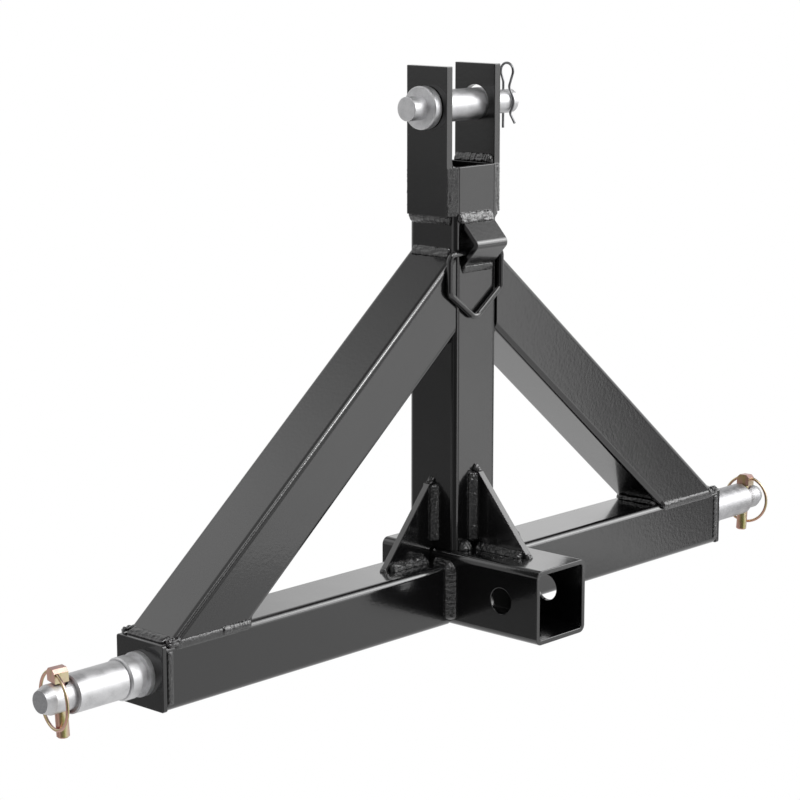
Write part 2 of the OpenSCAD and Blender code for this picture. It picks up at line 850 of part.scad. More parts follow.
receiver_tube();
on_left() cross_tube();  // left_cross_tube
cross_tube();  // right_cross_tube
on_left() end_plate();  // left_end_plate
end_plate();  // right_end_plate
on_left() lower_pin();  // left_lower_pin
lower_pin();  // right_lower_pin
mast_tube();
on_left() clevis_plate();  // left_clevis_plate
clevis_plate();  // right_clevis_plate
on_left() brace();  // left_brace
brace();  // right_brace
on_left() side_gusset();  // left_gusset
side_gusset();  // right_gusset
front_gusset();
ring_bracket();
receiver_welds();
mast_welds();
brace_welds();
gusset_welds();
end_plate_welds();
clevis_welds();
bracket_welds();
on_left() lower_sleeve();  // left_sleeve
lower_sleeve();  // right_sleeve
on_left() linchpin(left_lean, left_turn);  // left_linchpin
linchpin(right_lean, right_turn);  // right_linchpin
on_left() linchpin_ring(left_lean, left_turn);  // left_linchpin_ring
linchpin_ring(right_lean, right_turn);  // right_linchpin_ring
top_sleeve();
top_pin();
hairpin_clip();
shield_ring();
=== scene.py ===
"""Three-point trailer hitch: black powder-coated frame, zinc pins, yellow linchpins."""
import json
import math
from collections import namedtuple

import bmesh
import bpy
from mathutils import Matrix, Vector, noise


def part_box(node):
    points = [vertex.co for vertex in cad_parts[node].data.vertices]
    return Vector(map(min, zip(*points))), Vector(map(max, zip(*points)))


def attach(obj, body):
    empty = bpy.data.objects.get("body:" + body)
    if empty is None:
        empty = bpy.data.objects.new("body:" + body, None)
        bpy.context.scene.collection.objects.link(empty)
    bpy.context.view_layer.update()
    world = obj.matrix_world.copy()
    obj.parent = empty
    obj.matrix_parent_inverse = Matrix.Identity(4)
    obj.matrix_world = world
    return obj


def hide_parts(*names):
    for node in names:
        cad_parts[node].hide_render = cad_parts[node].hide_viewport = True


MM = 0.001

# Camera, fitted to the photograph
CAMERA_AT = (-1.4745, -1.3048, 0.5361)
CAMERA_ELEVATION = 11.04
CAMERA_AZIMUTH = -47.26
CAMERA_LENS = 111.9
SENSOR = 36.0

# Ramps of the materials: place along the ramp, then its colour
COAT = ((0.0, (0.0025, 0.0025, 0.0028)), (1.0, (0.011, 0.011, 0.0115)))
COAT_ON_BEAD = ((0.3, (0.003, 0.003, 0.0033)), (0.8, (0.010, 0.010, 0.0105)))
ZINC_SIDE = ((0.30, (0.60, 0.60, 0.61)), (0.50, (0.72, 0.72, 0.73)), (0.72, (0.80, 0.80, 0.81)))
# Painted shade: the plate's colours at the right, darker than the rest
ZINC_RIGHT_SHADE = ((0.34, (0.40, 0.40, 0.41)), (0.50, (0.52, 0.52, 0.53)), (0.66, (0.62, 0.62, 0.63)))
# Painted shade: the colours of the pins' outer end faces
ZINC_END_SHADE = ((0.30, (0.36, 0.36, 0.37)), (0.70, (0.46, 0.46, 0.47)))
# Film hues along a ramp that follows which way a face turns: partly film colour, partly painted
# light and shade
YELLOW_FILM_AND_SHADE = (
    (0.16, (0.58, 0.34, 0.27)), (0.25, (0.50, 0.38, 0.18)), (0.32, (0.42, 0.42, 0.15)),
    (0.41, (0.78, 0.68, 0.44)), (0.54, (0.74, 0.54, 0.44)), (0.72, (0.58, 0.36, 0.33)),
)
SPRING_WIRE = ((0.3, (0.16, 0.16, 0.165)), (0.7, (0.34, 0.34, 0.35)))

# Beyond this distance from the middle, the faces of the lower pins and their sleeves that face
# along X are painted darker, as painted shade;
# and the plate is painted darker to the right of this place, as painted shade.
# Each changes over a short way
ZINC_END_SHADE_FROM = 405 * MM
ZINC_RIGHT_SHADE_FROM = 300 * MM
ZINC_CHANGE = 1 * MM

# Studio: the floor's place and grey, its brightness in reflections, and the light all round
FLOOR_Z = -0.45
FLOOR_AT = (0.35, -0.35)
FLOOR_RADIUS = 1.35
FLOOR_ALBEDO = 0.8
FLOOR_IN_GLOSS = 0.75
WORLD_BASE = 0.62
# Soft boxes in the world, and flags that take light away: name, direction, strength added,
# cosines where each starts and is full
WORLD_BOXES = (
    ("front", (0.72, -0.67, -0.15), 0.65, 0.92, 0.985),
    ("high", (0.734, -0.57, 0.41), 2.7, 0.885, 0.965),
    ("strip", (-0.03, -0.58, 0.81), 3.2, 0.90, 0.965),
    ("top_back", (-0.30, 0.70, 0.64), 0.50, 0.945, 0.985),
    ("right_back", (0.80, 0.55, 0.23), 0.42, 0.965, 0.997),
    ("corner", (0.05, -0.98, -0.19), 1.0, 0.965, 0.992),
    ("flag_foot", (-0.30, -0.60, 0.72), -3.8, 0.962, 0.985),
    ("flag_foot_low", (-0.15, -0.83, 0.52), -2.2, 0.962, 0.985),
    ("flag_top", (0.10, 0.62, 0.78), -0.25, 0.975, 0.995),
    ("flag_right", (0.85, -0.50, -0.15), -1.1, 0.9868, 0.9935),
    ("flag_over", (0.30, 0.12, 0.94), -0.50, 0.78, 0.92),
    ("flag_left", (-0.70, 0.66, -0.27), -0.40, 0.955, 0.992),
    ("flag_camera", (-0.67, -0.72, -0.19), -0.50, 0.60, 0.93),
    ("flag_between", (0.42, -0.88, -0.19), -0.35, 0.95, 0.985),
)

# Plain CAD pieces whose cut edges are eased, and by how much
EASED = {
    "left_clevis_plate": 0.6 * MM, "right_clevis_plate": 0.6 * MM, "left_gusset": 0.5 * MM,
    "right_gusset": 0.5 * MM, "front_gusset": 0.5 * MM, "ring_bracket": 0.5 * MM,
    "receiver_tube": 0.6 * MM, "mast_tube": 0.6 * MM, "left_end_plate": 0.8 * MM,
    "right_end_plate": 0.8 * MM,
}
# A CAD facet joint is flat below the first angle, and an edge is sharp above the second
FLAT_ANGLE = math.radians(1.0)
SHARP_ANGLE = math.radians(35)

# Looks of the weld beads. Depths and lengths without a unit are shares of the bead's size:
#   pitch     distance from one ripple to the next
#   relief    depth of the ripples
#   lumps     depth of the lumps on the crown
#   toes      depth of the lumps at the two edges
#   stretch   length of a lump, in times LUMP
#   bulge     how far the crown stands out
#   bow       how far a ripple's middle runs ahead, in ripples
#   shoulder  power of the section's curve, squarer as it falls
#   taper     length of the rounded ends
#   grow      size of a straight bead against the CAD's
Look = namedtuple("Look", "pitch relief lumps toes stretch bulge bow shoulder taper grow")
BEAD_LOOKS = {
    "receiver_welds": Look(3.2 * MM, 0.01, 0.07, 0.10, 2.4, 0.10, 0.9, 0.35, 0.50, 1.00),
    "mast_welds": Look(2.6 * MM, 0.03, 0.12, 0.20, 2.6, 0.22, 0.5, 0.45, 0.50, 1.00),
    "brace_welds": Look(2.6 * MM, 0.02, 0.16, 0.14, 4.5, 0.26, 0.6, 0.40, 0.40, 1.00),
    "gusset_welds": Look(3.4 * MM, 0.09, 0.13, 0.18, 1.6, 0.12, 0.9, 0.40, 0.40, 1.15),
    "end_plate_welds": Look(4.2 * MM, 0.10, 0.06, 0.06, 2.0, 0.06, 0.6, 0.40, 0.50, 1.00),
    "clevis_welds": Look(2.8 * MM, 0.02, 0.10, 0.05, 7.0, 0.05, 0.5, 0.40, 0.10, 1.00),
    "bracket_welds": Look(2.2 * MM, 0.02, 0.14, 0.20, 4.0, 0.24, 0.5, 0.50, 0.50, 0.75),
}
# What some beads have in place of their node's look
GUSSET_FOOT = {"relief": 0.03, "lumps": 0.24, "toes": 0.30, "stretch": 2.4}
BRACE_FOOT = {"relief": 0.0, "lumps": 0.05, "toes": 0.05}
CLEVIS_UNDER = {"bulge": 0.26}
GROOVE_FLUSH = {"relief": 0.0, "lumps": 0.03, "toes": 0.0, "shoulder": 0.22, "taper": 0.8}
GROOVE_LUMP = {"toes": 0.1, "stretch": 1.6, "shoulder": 0.6}

# A groove bead runs on past its groove, and the lumps at its ends stand out at this slope
GROOVE_REACH = 3 * MM
GROOVE_LEAN = math.radians(38)
# A lump runs from past the groove's end to back towards its middle, above its middle line
GrooveEnd = namedtuple("GrooveEnd", "past back rise half_width crown lumps")
GROOVE_ENDS = {
    "outer": GrooveEnd(9 * MM, 4 * MM, 2.0 * MM, 4.2 * MM, 3.4 * MM, 0.40),
    "inner": GrooveEnd(4 * MM, 26 * MM, 1.2 * MM, 4.6 * MM, 3.8 * MM, 0.08),
}
# The braces' feet are further out than this
BRACE_FOOT_X = 300 * MM
# The bracket's upper bead runs on to the left
BRACKET_RUN = 5 * MM
# A solid with more corners than a prism is a groove bead, and one taller than this is upright
PRISM_CORNERS = 6
TALL = 20 * MM

# A prism's root is its square corner, or else the one between its most even legs
SQUARE_COSINE = 0.001
NOT_SQUARE = 0.01
EVEN_DIGITS = 5
# CAD corners closer than this are one
SAME_POINT = 1e-6

# How finely the beads are drawn
CORNER_KNOTS = 6  # steps of a bead's turn round the beam's edge
STATION = 0.4 * MM  # step along a bead
FEWEST_STATIONS = 8
SECTION_POINTS = 13  # points across a bead's skin

# Noise on the beads
SEED_STEP = 5.3  # seed, from one bead of a node to its next
LUMP = 1.5 * MM  # size of a lump
LUMP_ACROSS = 1.6  # lumps in that size, across the bead
EDGE_LUMPS_ACROSS = 7.0
EDGE_LUMPS_SEED = 4.0
EDGE_POWER = 3  # how closely the edges' lumps keep to the edges
RIPPLE_WANDER = 0.35  # how far the ripples drift, in ripples
RIPPLE_DRIFT = 6 * MM  # over this length
RIPPLE_POWER = 0.6  # shape of a ripple's step
TOE_WANDER = 0.22  # how far a bead's outline wanders, as a share of its leg
TOE_SLOW = 4.5 * MM  # the length of its slow waves, and of its quick ones
TOE_QUICK = 1.3 * MM
TOE_SLOW_SHARE = 0.6
TOE_QUICK_SHARE = 0.7
TOE_QUICK_SEED = 9.0
TOE_SEEDS = (3.0, 7.0)
LEAST_SWELL = 0.12  # size of a bead's very end


# ---------------------------------------------------------------- materials

class Nodes:
    """Short calls for building one node tree."""

    # Sockets of a colour Mix node, which share their names with its other kinds
    MIX_FIRST, MIX_SECOND, MIX_RESULT = 6, 7, 2

    def __init__(self, tree):
        self.tree = tree
        tree.nodes.clear()

    def add(self, kind, values=None, **attributes):
        node = self.tree.nodes.new(kind)
        for key, value in attributes.items():
            setattr(node, key, value)
        for key, value in (values or {}).items():
            if isinstance(value, bpy.types.NodeSocket):
                self.tree.links.new(value, node.inputs[key])
            else:
                node.inputs[key].default_value = value
        return node

    def point(self):
        return self.add("ShaderNodeTexCoord").outputs["Object"]

    def noise(self, at, scale, detail=3.0, roughness=0.5):
        values = {"Vector": at, "Scale": scale, "Detail": detail, "Roughness": roughness}
        return self.add("ShaderNodeTexNoise", values).outputs["Fac"]

    def stretch(self, at, scale):
        return self.add("ShaderNodeMapping", {"Vector": at, "Scale": scale}).outputs["Vector"]

    def spread(self, value, low, high, from_low=0.3, from_high=0.7):
        node = self.add("ShaderNodeMapRange", {"Value": value, "From Min": from_low,
                        "From Max": from_high, "To Min": low, "To Max": high})
        return node.outputs["Result"]

    def math(self, operation, a, b):
        node = self.add("ShaderNodeMath", {0: a, 1: b}, operation=operation)
        return node.outputs["Value"]

    def ramp(self, value, stops):
        node = self.add("ShaderNodeValToRGB", {"Fac": value})
        ramp = node.color_ramp
        while len(ramp.elements) < len(stops):
            ramp.elements.new(0.5)
        for element, (place, colour) in zip(ramp.elements, stops):
            element.position = place
            element.color = (*colour, 1.0)
        return node.outputs["Color"]

    def mix(self, factor, first, second):
        node = self.add("ShaderNodeMix", {"Factor": factor}, data_type="RGBA")
        self.tree.links.new(first, node.inputs[self.MIX_FIRST])
        self.tree.links.new(second, node.inputs[self.MIX_SECOND])
        return node.outputs[self.MIX_RESULT]

    def normal_parts(self):
        """The three parts of the piece's own normal."""
        normal = self.add("ShaderNodeTexCoord").outputs["Normal"]
        parts = self.add("ShaderNodeSeparateXYZ", {"Vector": normal})
        return parts.outputs["X"], parts.outputs["Y"], parts.outputs["Z"]

    def facing_x(self, starts, full):
        """1 where the surface faces along X, 0 where it turns away."""
        along = self.math("ABSOLUTE", self.normal_parts()[0], 0.0)
        return self.spread(along, 0.0, 1.0, starts, full)

    def bump(self, height, strength, distance, under=None):
        values = {"Height": height, "Strength": strength, "Distance": distance}
        if under is not None:
            values["Normal"] = under
        return self.add("ShaderNodeBump", values).outputs["Normal"]

    def surface(self, values):
        shader = self.add("ShaderNodeBsdfPrincipled", values)
        self.add("ShaderNodeOutputMaterial", {"Surface": shader.outputs["BSDF"]})


def material(name):
    """A new material and the calls that build its nodes."""
    made = bpy.data.materials.new(name)
    made.use_nodes = True
    return made, Nodes(made.node_tree)


def powder_coat():
    """Gloss black powder coat: faint orange peel, uneven gloss, a trace of dust."""
    made, n = material("black_powder_coat")
    at = n.point()
    cloud = n.noise(at, scale=9.0, detail=4.0)
    dust = n.noise(at, scale=2600.0, detail=2.0)
    specks = n.spread(dust, low=0.0, high=1.0, from_low=0.60, from_high=0.80)
    grey = n.math("MULTIPLY", specks, n.spread(cloud, low=0.2, high=1.0))
    peel = n.bump(n.noise(at, scale=420.0, detail=2.0), strength=0.10, distance=0.4 * MM)
    wave = n.bump(n.noise(at, scale=26.0, detail=1.0), strength=0.10, distance=1.5 * MM, under=peel)
    n.surface({"Base Color": n.ramp(grey, COAT), "Roughness": n.spread(cloud, low=0.16, high=0.26),
               "IOR": 1.5, "Normal": wave, "Coat Weight": 1.0, "Coat Roughness": 0.07,
               "Coat Normal": peel})
    return made


def painted_bead():
    """The same coat over a weld: it pools, so it is glossier and lumpier."""
    made, n = material("painted_weld_bead")
    at = n.point()
    lumps = n.bump(n.noise(at, scale=620.0, detail=3.0, roughness=0.6), strength=0.55,
                   distance=0.5 * MM)
    grains = n.spread(n.noise(at, scale=1500.0, detail=1.0), low=0.0, high=1.0,
                      from_low=0.62, from_high=0.72)
    spatter = n.bump(grains, strength=0.5, distance=0.25 * MM, under=lumps)
    colour = n.ramp(n.noise(at, scale=300.0, detail=2.0), COAT_ON_BEAD)
    gloss = n.spread(n.noise(at, scale=90.0), low=0.08, high=0.20)
    n.surface({"Base Color": colour, "Roughness": gloss, "IOR": 1.55, "Normal": spatter,
               "Coat Weight": 1.0, "Coat Roughness": 0.05, "Coat Normal": spatter})
    return made


def zinc_colour(n, at, cloud, spots):
    """Plate with satin clouds, painted darker at the right as painted shade, and painted darker as
    shade on the pins' outer end faces.
    """
    tint = n.math("ADD", n.math("MULTIPLY", cloud, 0.7), n.math("MULTIPLY", spots, 0.3))
    place = n.add("ShaderNodeSeparateXYZ", {"Vector": at}).outputs["X"]
    # Painted shade: the plate turns darker at the right
    right = n.spread(place, 0.0, 1.0, ZINC_RIGHT_SHADE_FROM - ZINC_CHANGE, ZINC_RIGHT_SHADE_FROM)
    side = n.mix(right, n.ramp(tint, ZINC_SIDE), n.ramp(tint, ZINC_RIGHT_SHADE))
    # Painted shade: faces along X at the pins' outer ends turn darker
    outer = n.spread(n.math("ABSOLUTE", place, 0.0), 0.0, 1.0, ZINC_END_SHADE_FROM - ZINC_CHANGE, ZINC_END_SHADE_FROM)
    painted_end_shade = n.math("MULTIPLY", n.facing_x(0.35, 0.80), outer)
    return n.mix(painted_end_shade, side, n.ramp(spots, ZINC_END_SHADE))


def bright_zinc():
    """Zinc plate over turned steel: lathe lines, satin clouds, and painted shade at the right and
    on the pins' outer end faces.
    """
    made, n = material("bright_zinc_plate")
    at = n.point()
    lines = n.noise(n.stretch(at, (1.0, 0.02, 0.02)), scale=2600.0, detail=2.0)
    brushed = n.noise(n.stretch(at, (0.04, 1.0, 1.0)), scale=1400.0, detail=2.0)
    cloud = n.noise(at, scale=120.0, detail=4.0)
    spots = n.noise(at, scale=900.0, detail=2.0)
    turned = n.bump(lines, strength=0.16, distance=0.12 * MM)
    clouded = n.bump(cloud, strength=0.06, distance=0.4 * MM, under=turned)
    normal = n.bump(brushed, strength=0.20, distance=0.10 * MM, under=clouded)
    n.surface({"Base Color": zinc_colour(n, at, cloud, spots), "Metallic": 1.0,
               "Roughness": n.spread(cloud, low=0.42, high=0.54), "Normal": normal})
    return made


def yellow_zinc():
    """Yellow passivated zinc: its pink, olive and cream film hues, laid out by which way each face
    turns, so partly film colour and partly painted light and shade.
    """
    made, n = material("yellow_zinc_plate")
    at = n.point()
    drift = n.noise(n.stretch(at, (1.0, 1.0, 0.3)), scale=130.0, detail=2.0)
    # Painted light and shade: the film's hue and brightness follow which way each face turns
    x, _, z = n.normal_parts()
    turn = n.math("ADD", n.math("MULTIPLY", x, 0.32), n.math("MULTIPLY", z, 0.30))
    film_and_shade = n.math("ADD", n.math("ADD", turn, n.spread(drift, low=-0.11, high=0.11)), 0.46)
    pits = n.bump(n.noise(at, scale=1500.0, detail=2.0), strength=0.12, distance=0.15 * MM)
    n.surface({"Base Color": n.ramp(film_and_shade, YELLOW_FILM_AND_SHADE), "Metallic": 1.0,
               "Roughness": n.spread(drift, low=0.24, high=0.36), "Normal": pits})
    return made


def spring_steel():
    """Oil-dark drawn wire."""
    made, n = material("drawn_spring_wire")
    streak = n.noise(n.stretch(n.point(), (1.0, 1.0, 0.2)), scale=900.0, detail=2.0)
    n.surface({"Base Color": n.ramp(streak, SPRING_WIRE), "Metallic": 1.0,
               "Roughness": n.spread(streak, low=0.26, high=0.40),
               "Normal": n.bump(streak, strength=0.1, distance=0.1 * MM)})
    return made


def paint_nodes(frame, materials):
    """Every CAD node takes the material of its slot in the record."""
    slots = {part["node"]: part["material_slot"] for part in frame["record"]["subparts"]}
    for name, piece in frame["nodes"].items():
        piece.data.materials.clear()
        piece.data.materials.append(materials[slots[name]])


# -------------------------------------------------------------- weld beads

def islands(piece):
    """The corner points of each separate solid in a CAD node."""
    mesh = bmesh.new()
    mesh.from_mesh(piece.data)
    bmesh.ops.remove_doubles(mesh, verts=mesh.verts, dist=SAME_POINT)
    left = set(mesh.faces)
    found = []
    while left:
        front = [left.pop()]
        group = set(front[0].verts)
        while front:
            for edge in front.pop().edges:
                for face in edge.link_faces:
                    if face in left:
                        left.remove(face)
                        group.update(face.verts)
                        front.append(face)
        found.append(sorted((v.co.copy() for v in group), key=lambda c: (c.x, c.y, c.z)))
    mesh.free()
    return sorted(found, key=lambda group: tuple(group[0]))


def among(point, points):
    """Whether one of the points lies where this one does."""
    return any((p - point).length < SAME_POINT for p in points)


def limits(points):
    """The lowest and the highest corner of the points' box."""
    low = Vector([min(p[k] for p in points) for k in range(3)])
    high = Vector([max(p[k] for p in points) for k in range(3)])
    return low, high


def is_tall(points):
    """Whether a solid stands upright, as the beads on upright edges do."""
    low, high = limits(points)
    return high.z - low.z > TALL


def knot(corner, leg_a, leg_b, bulge):
    """One station of a bead: its root, the two legs from it, and how far its crown stands out."""
    out = (leg_a.normalized() + leg_b.normalized()).normalized()
    return corner, leg_a, leg_b, out * (bulge * 0.5 * (leg_a.length + leg_b.length))


def prism_bead(points, look):
    """The first and last knot of a straight bead with a triangular section."""
    for other in points[1:]:
        run = other - points[0]
        first = [p for p in points if among(p + run, points)]
        if len(first) == 3 and not any(among(p - run, points) for p in first):
            break
    legs = []
    for i in range(3):
        a, b = first[(i + 1) % 3] - first[i], first[(i + 2) % 3] - first[i]
        square = abs(a.normalized().dot(b.normalized()))
        uneven = abs(a.length - b.length) / (a.length + b.length)
        legs.append((0.0 if square < SQUARE_COSINE else NOT_SQUARE + uneven, i, a, b))
    _, i, a, b = min(legs, key=lambda leg: (round(leg[0], EVEN_DIGITS), leg[1]))
    a, b = a * look.grow, b * look.grow
    return [knot(first[i], a, b, look.bulge), knot(first[i] + run, a, b, look.bulge)]


def strip_bead(points, reach=0.0):
    """A low bead on a flat face, from its thin box, along the longest side and past its ends."""
    low, high = limits(points)
    (thin, t), (wide, w), (length, run_axis) = sorted((high[k] - low[k], k) for k in range(3))
    middle = (low + high) / 2
    outward = 1.0 if middle[t] > 0 else -1.0
    corner, run, leg_a, leg_b, crown = middle.copy(), Vector(), Vector(), Vector(), Vector()
    corner[t] = (low if outward > 0 else high)[t]
    corner[run_axis] = low[run_axis] - reach
    run[run_axis] = length + 2 * reach
    leg_a[w], leg_b[w] = wide / 2, -wide / 2
    crown[t] = outward * thin
    return [(corner, leg_a, leg_b, crown), (corner + run, leg_a, leg_b, crown)]


def groove_beads(points, look):
    """The flush bead under a brace's side, and the lump left at each of its ends."""
    low, high = limits(points)
    side = 1.0 if low.x > 0 else -1.0
    face = 1.0 if low.y > 0 else -1.0
    inner, outer = sorted((abs(low.x), abs(high.x)))
    beads = [(strip_bead(points, GROOVE_REACH), look._replace(**GROOVE_FLUSH))]
    out = Vector((0.0, face * math.cos(GROOVE_LEAN), math.sin(GROOVE_LEAN)))
    up = Vector((0.0, -face * math.sin(GROOVE_LEAN), math.cos(GROOVE_LEAN)))
    for name, end in GROOVE_ENDS.items():
        away, place = (side, side * outer) if name == "outer" else (-side, side * inner)
        height = (low.z + high.z) / 2 + end.rise
        root = Vector((0.0, min(abs(low.y), abs(high.y)) * face, height))
        legs = up * end.half_width, up * -end.half_width, out * end.crown
        start = root + Vector((place + away * end.past, 0.0, 0.0))
        finish = root + Vector((place - away * end.back, 0.0, 0.0))
        beads.append(([(start, *legs), (finish, *legs)],
                      look._replace(lumps=end.lumps, **GROOVE_LUMP)))
    return beads


def clevis_bead(points, plate, mast, look):
    """The upright bead over a clevis plate's edge and the mast's rounded corner."""
    low, high = limits(points)
    side = 1.0 if low.x > 0 else -1.0
    face = 1.0 if low.y > 0 else -1.0
    inner = min(abs(plate[0].x), abs(plate[1].x))
    outer = max(abs(plate[0].x), abs(plate[1].x))
    flat = min(abs(low.x), abs(high.x))
    corner = Vector((side * inner, face * plate[1].y, low.z))
    top = Vector((corner.x, corner.y, high.z))
    leg_a = Vector((side * (outer - inner), 0.0, 0.0))
    leg_b = Vector((side * (flat - inner), face * (mast[1].y - plate[1].y), 0.0))
    return [knot(corner, leg_a, leg_b, look.bulge), knot(top, leg_a, leg_b, look.bulge)]


def corner_bead(upright, top, look):
    """A bead that climbs the beam's front or rear and goes on round its edge onto its top."""
    foot, head = sorted(prism_bead(upright, look), key=lambda k: k[0].z)
    start, end = sorted(prism_bead(top, look), key=lambda k: -abs(k[0].y))
    side, out = sorted(foot[1:3], key=lambda leg: -abs(leg.x))
    side_end, up = sorted(start[1:3], key=lambda leg: -abs(leg.x))
    centre = Vector((head[0].x, start[0].y, head[0].z))
    radius = start[0].z - centre.z
    ahead = out.normalized()
    knots = [foot[:1] + (side, out, foot[3])]
    for i in range(CORNER_KNOTS + 1):
        share = i / CORNER_KNOTS
        turn = share * math.pi / 2
        face = ahead * math.cos(turn) + Vector((0.0, 0.0, math.sin(turn)))
        leg = face * (out.length + share * (up.length - out.length))
        knots.append(knot(centre + face * radius, side.lerp(side_end, share), leg, look.bulge))
    knots.append(knot(end[0], side_end, up, look.bulge))
    return knots


def ripple(along, across, seed, look):
    """Height of the weld's ripples, from -1 to 1: each one bows out at its middle."""
    bow = look.bow * (1.0 - (2.0 * across - 1.0) ** 2)
    wander = RIPPLE_WANDER * noise.noise(Vector((along / RIPPLE_DRIFT, seed, 0.0)))
    phase = along / look.pitch - bow + wander
    step = phase - math.floor(phase)
    return 1.0 - 2.0 * step ** RIPPLE_POWER


def stations(knots):
    """(distance, root, leg a, leg b, crown) at even steps along a bead's knots."""
    spans = [(b[0] - a[0]).length for a, b in zip(knots, knots[1:])]
    length = sum(spans)
    count = max(FEWEST_STATIONS, int(length / STATION))
    found = []
    for i in range(count + 1):
        along = left = length * i / count
        k = 0
        while k < len(spans) - 1 and left > spans[k]:
            left -= spans[k]
            k += 1
        share = min(1.0, left / spans[k])
        found.append((along, *(a.lerp(b, share) for a, b in zip(knots[k], knots[k + 1]))))
    return found, length


def toe(along, seed, edge):
    """Share of its leg that a bead's uneven edge reaches."""
    slow = noise.noise(Vector((along / TOE_SLOW, seed, edge)))
    quick = noise.noise(Vector((along / TOE_QUICK, seed, edge + TOE_QUICK_SEED)))
    return 1.0 - TOE_WANDER * (TOE_SLOW_SHARE * abs(slow) + TOE_QUICK_SHARE * abs(quick))


def bead_rings(knots, seed, look):
    """Rings of points along one bead, from its start to its end, and its root line."""
    line, length = stations(knots)
    rings, roots = [], []
    for along, root, leg_a, leg_b, crown in line:
        size = 0.5 * (leg_a.length + leg_b.length)
        end = min(1.0, min(along, length - along) / (look.taper * size))
        swell = max(LEAST_SWELL, math.sqrt(max(0.0, 1.0 - (1.0 - end) ** 2)))
        out = crown.normalized()
        toe_a, toe_b = (toe(along, seed, edge) for edge in TOE_SEEDS)
        ring = []
        for j in range(SECTION_POINTS):
            u = j / (SECTION_POINTS - 1)
            flat = leg_a * (1.0 - u) * toe_a + leg_b * u * toe_b
            round_off = (4.0 * u * (1.0 - u)) ** look.shoulder
            lump = noise.noise(Vector((along / (look.stretch * LUMP),
                                       u * LUMP_ACROSS * size / LUMP, seed)))
            edge = noise.noise(Vector((along / LUMP, u * EDGE_LUMPS_ACROSS,
                                       seed + EDGE_LUMPS_SEED)))
            depth = look.relief * ripple(along, u, seed, look) + look.lumps * lump
            at_edge = look.toes * abs(2.0 * u - 1.0) ** EDGE_POWER
            lift = size * round_off * (depth + at_edge * edge)
            ring.append(root + (flat + crown * round_off + out * lift) * swell)
        rings.append(ring)
        roots.append(root)
    return rings, roots


def bead_mesh(name, beads):
    """One mesh of several beads: rippled skins, closed at their ends."""
    points, faces = [], []
    for seed, (knots, look) in enumerate(beads):
        rings, roots = bead_rings(knots, seed * SEED_STEP, look)
        half, ahead = rings[len(rings) // 2], rings[len(rings) // 2 + 1]
        middle = SECTION_POINTS // 2
        turn = (half[middle] - half[0]).cross(half[-1] - half[middle])
        if turn.dot(ahead[0] - half[0]) > 0:
            rings.reverse()
            roots.reverse()
        size = SECTION_POINTS + 1
        start = len(points)
        for ring, root in zip(rings, roots):
            points.extend(ring)
            points.append(root)
        for i in range(len(rings) - 1):
            for j in range(size):
                a, b = start + i * size + j, start + i * size + (j + 1) % size
                faces.append((a, b, b + size, a + size))
        last = start + (len(rings) - 1) * size
        faces.append(tuple(range(start + size - 1, start - 1, -1)))
        faces.append(tuple(range(last, last + size)))
    mesh = bpy.data.meshes.new(name)
    mesh.from_pydata(points, [], faces)
    mesh.update()
    for face in mesh.polygons:
        face.use_smooth = len(face.vertices) == 4
    return mesh


def piece_of(name, mesh, coat, body, slot, *nodes):
    """A visual piece in place of CAD nodes, riding on a body."""
    piece = bpy.data.objects.new(name, mesh)
    bpy.context.scene.collection.objects.link(piece)
    mesh.materials.clear()
    mesh.materials.append(coat)
    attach(piece, body)
    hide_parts(*nodes)


def quarter(points):
    """Whether a bead is on the right, and whether it is at the rear."""
    low, high = limits(points)
    return low.x > 0, low.y + high.y > 0


def receiver_beads(groups, look):
    """The four beads of the receiver, each on the beam's face and its top."""
    tops = {quarter(points): points for points in groups if not is_tall(points)}
    return [(corner_bead(points, tops[quarter(points)], look), look)
            for points in groups if is_tall(points)]


def mast_beads(groups, look):
    """Straight beads, as the CAD has them."""
    return [(prism_bead(points, look), look) for points in groups]


def brace_beads(groups, look):
    """Flush beads in the grooves under the braces' sides, and straight ones at their ends."""
    foot = look._replace(**BRACE_FOOT)
    beads = []
    for points in groups:
        if len(points) > PRISM_CORNERS:
            beads.extend(groove_beads(points, look))
        else:
            at_foot = abs(points[0].x) > BRACE_FOOT_X
            beads.append((prism_bead(points, look), foot if at_foot else look))
    return beads


def gusset_beads(groups, look):
    """Straight beads: the ones along the gussets' feet are lumpier."""
    foot = look._replace(**GUSSET_FOOT)
    return [(prism_bead(points, look), look if is_tall(points) else foot) for points in groups]


def end_plate_beads(groups, look):
    """Low seams round the end plates."""
    return [(strip_bead(points), look) for points in groups]


def clevis_beads(groups, look):
    """Upright beads at the plates' edges, and a fuller one under each plate."""
    plate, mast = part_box("right_clevis_plate"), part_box("mast_tube")
    under = look._replace(**CLEVIS_UNDER)
    return [(clevis_bead(points, plate, mast, look), look) if is_tall(points)
            else (prism_bead(points, under), under) for points in groups]


def bracket_beads(groups, look):
    """The ring bracket's beads, of which the highest runs on to the left."""
    highest = max(groups, key=lambda points: limits(points)[1].z)
    beads = []
    for points in groups:
        first, last = sorted(prism_bead(points, look), key=lambda k: k[0].x)
        if points is highest:
            first = (first[0] - Vector((BRACKET_RUN, 0.0, 0.0)), *first[1:])
        beads.append(([first, last], look))
    return beads


# How each weld node's solids become beads with their looks
BEADS_OF = {
    "receiver_welds": receiver_beads, "mast_welds": mast_beads, "brace_welds": brace_beads,
    "gusset_welds": gusset_beads, "end_plate_welds": end_plate_beads,
    "clevis_welds": clevis_beads, "bracket_welds": bracket_beads,
}


def weld_pieces(nodes, coat):
    """Rippled beads in place of the plain prisms that the CAD nodes have."""
    for node, look in BEAD_LOOKS.items():
        beads = BEADS_OF[node](islands(nodes[node]), look)
        piece_of(node + "_rippled", bead_mesh(node, beads), coat, "frame", "painted_bead", node)


# ------------------------------------------------------- eased CAD copies

